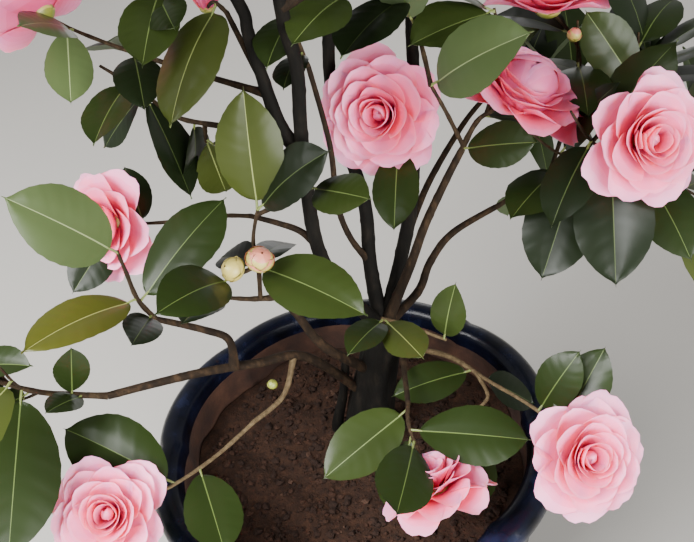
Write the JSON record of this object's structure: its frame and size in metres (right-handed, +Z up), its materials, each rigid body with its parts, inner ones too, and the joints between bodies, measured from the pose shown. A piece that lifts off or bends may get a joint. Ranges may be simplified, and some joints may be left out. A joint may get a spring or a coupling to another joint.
{
  "type": "potted camellia shrub",
  "caption": "Evergreen camellia shrub in bloom with glossy leaves and double pink flowers, growing in a lobed glazed garden pot.",
  "frame": {"origin": "centre of the pot's flat underside", "axes": "+Z up along the pot's axis; -Y is the side the picture shows, +X is to the right in it"},
  "size_m": [0.763, 0.686, 1.1314],
  "materials": {
    "glazed_pot": "gloss",
    "soil": "rough",
    "trunk_bark": "rough",
    "twig_bark": "rough",
    "foliage": "satin"
  },
  "bodies": {
    "root": {"pot": "glazed_pot", "soil": "soil", "trunk": "trunk_bark", "stem_centre": "trunk_bark", "stem_far_left": "trunk_bark", "stem_left": "trunk_bark", "stem_right": "trunk_bark", "stem_side": "trunk_bark", "bough_back": "twig_bark", "bough_bloom_centre": "twig_bark", "bough_bloom_left": "twig_bark", "bough_bud": "twig_bark", "bough_crest": "twig_bark", "bough_crown_1": "twig_bark", "bough_crown_2": "twig_bark", "bough_crown_3": "twig_bark", "bough_crown_4": "twig_bark", "bough_crown_5": "twig_bark", "bough_crown_6": "twig_bark", "bough_crown_7": "twig_bark", "bough_left_low": "twig_bark", "bough_left_rise": "twig_bark", "bough_low_centre": "twig_bark", "bough_outer_left": "twig_bark", "bough_pot_front": "twig_bark", "bough_pot_left": "twig_bark", "bough_pot_right": "twig_bark", "bough_right": "twig_bark", "bough_slender": "twig_bark", "bough_upper_left": "twig_bark", "bough_upper_right": "twig_bark", "foliage_back": "foliage", "foliage_bloom_centre": "foliage", "foliage_bloom_left": "foliage", "foliage_bud": "foliage", "foliage_crest": "foliage", "foliage_crown_1": "foliage", "foliage_crown_2": "foliage", "foliage_crown_3": "foliage", "foliage_crown_4": "foliage", "foliage_crown_5": "foliage", "foliage_crown_6": "foliage", "foliage_crown_7": "foliage", "foliage_left_low": "foliage", "foliage_left_rise": "foliage", "foliage_low_centre": "foliage", "foliage_outer_left": "foliage", "foliage_pot_front": "foliage", "foliage_pot_left": "foliage", "foliage_pot_right": "foliage", "foliage_right": "foliage", "foliage_slender": "foliage", "foliage_top_centre": "foliage", "foliage_top_far_left": "foliage", "foliage_top_left": "foliage", "foliage_top_right": "foliage", "foliage_upper_left": "foliage", "foliage_upper_right": "foliage"}
  },
  "joints": []
}
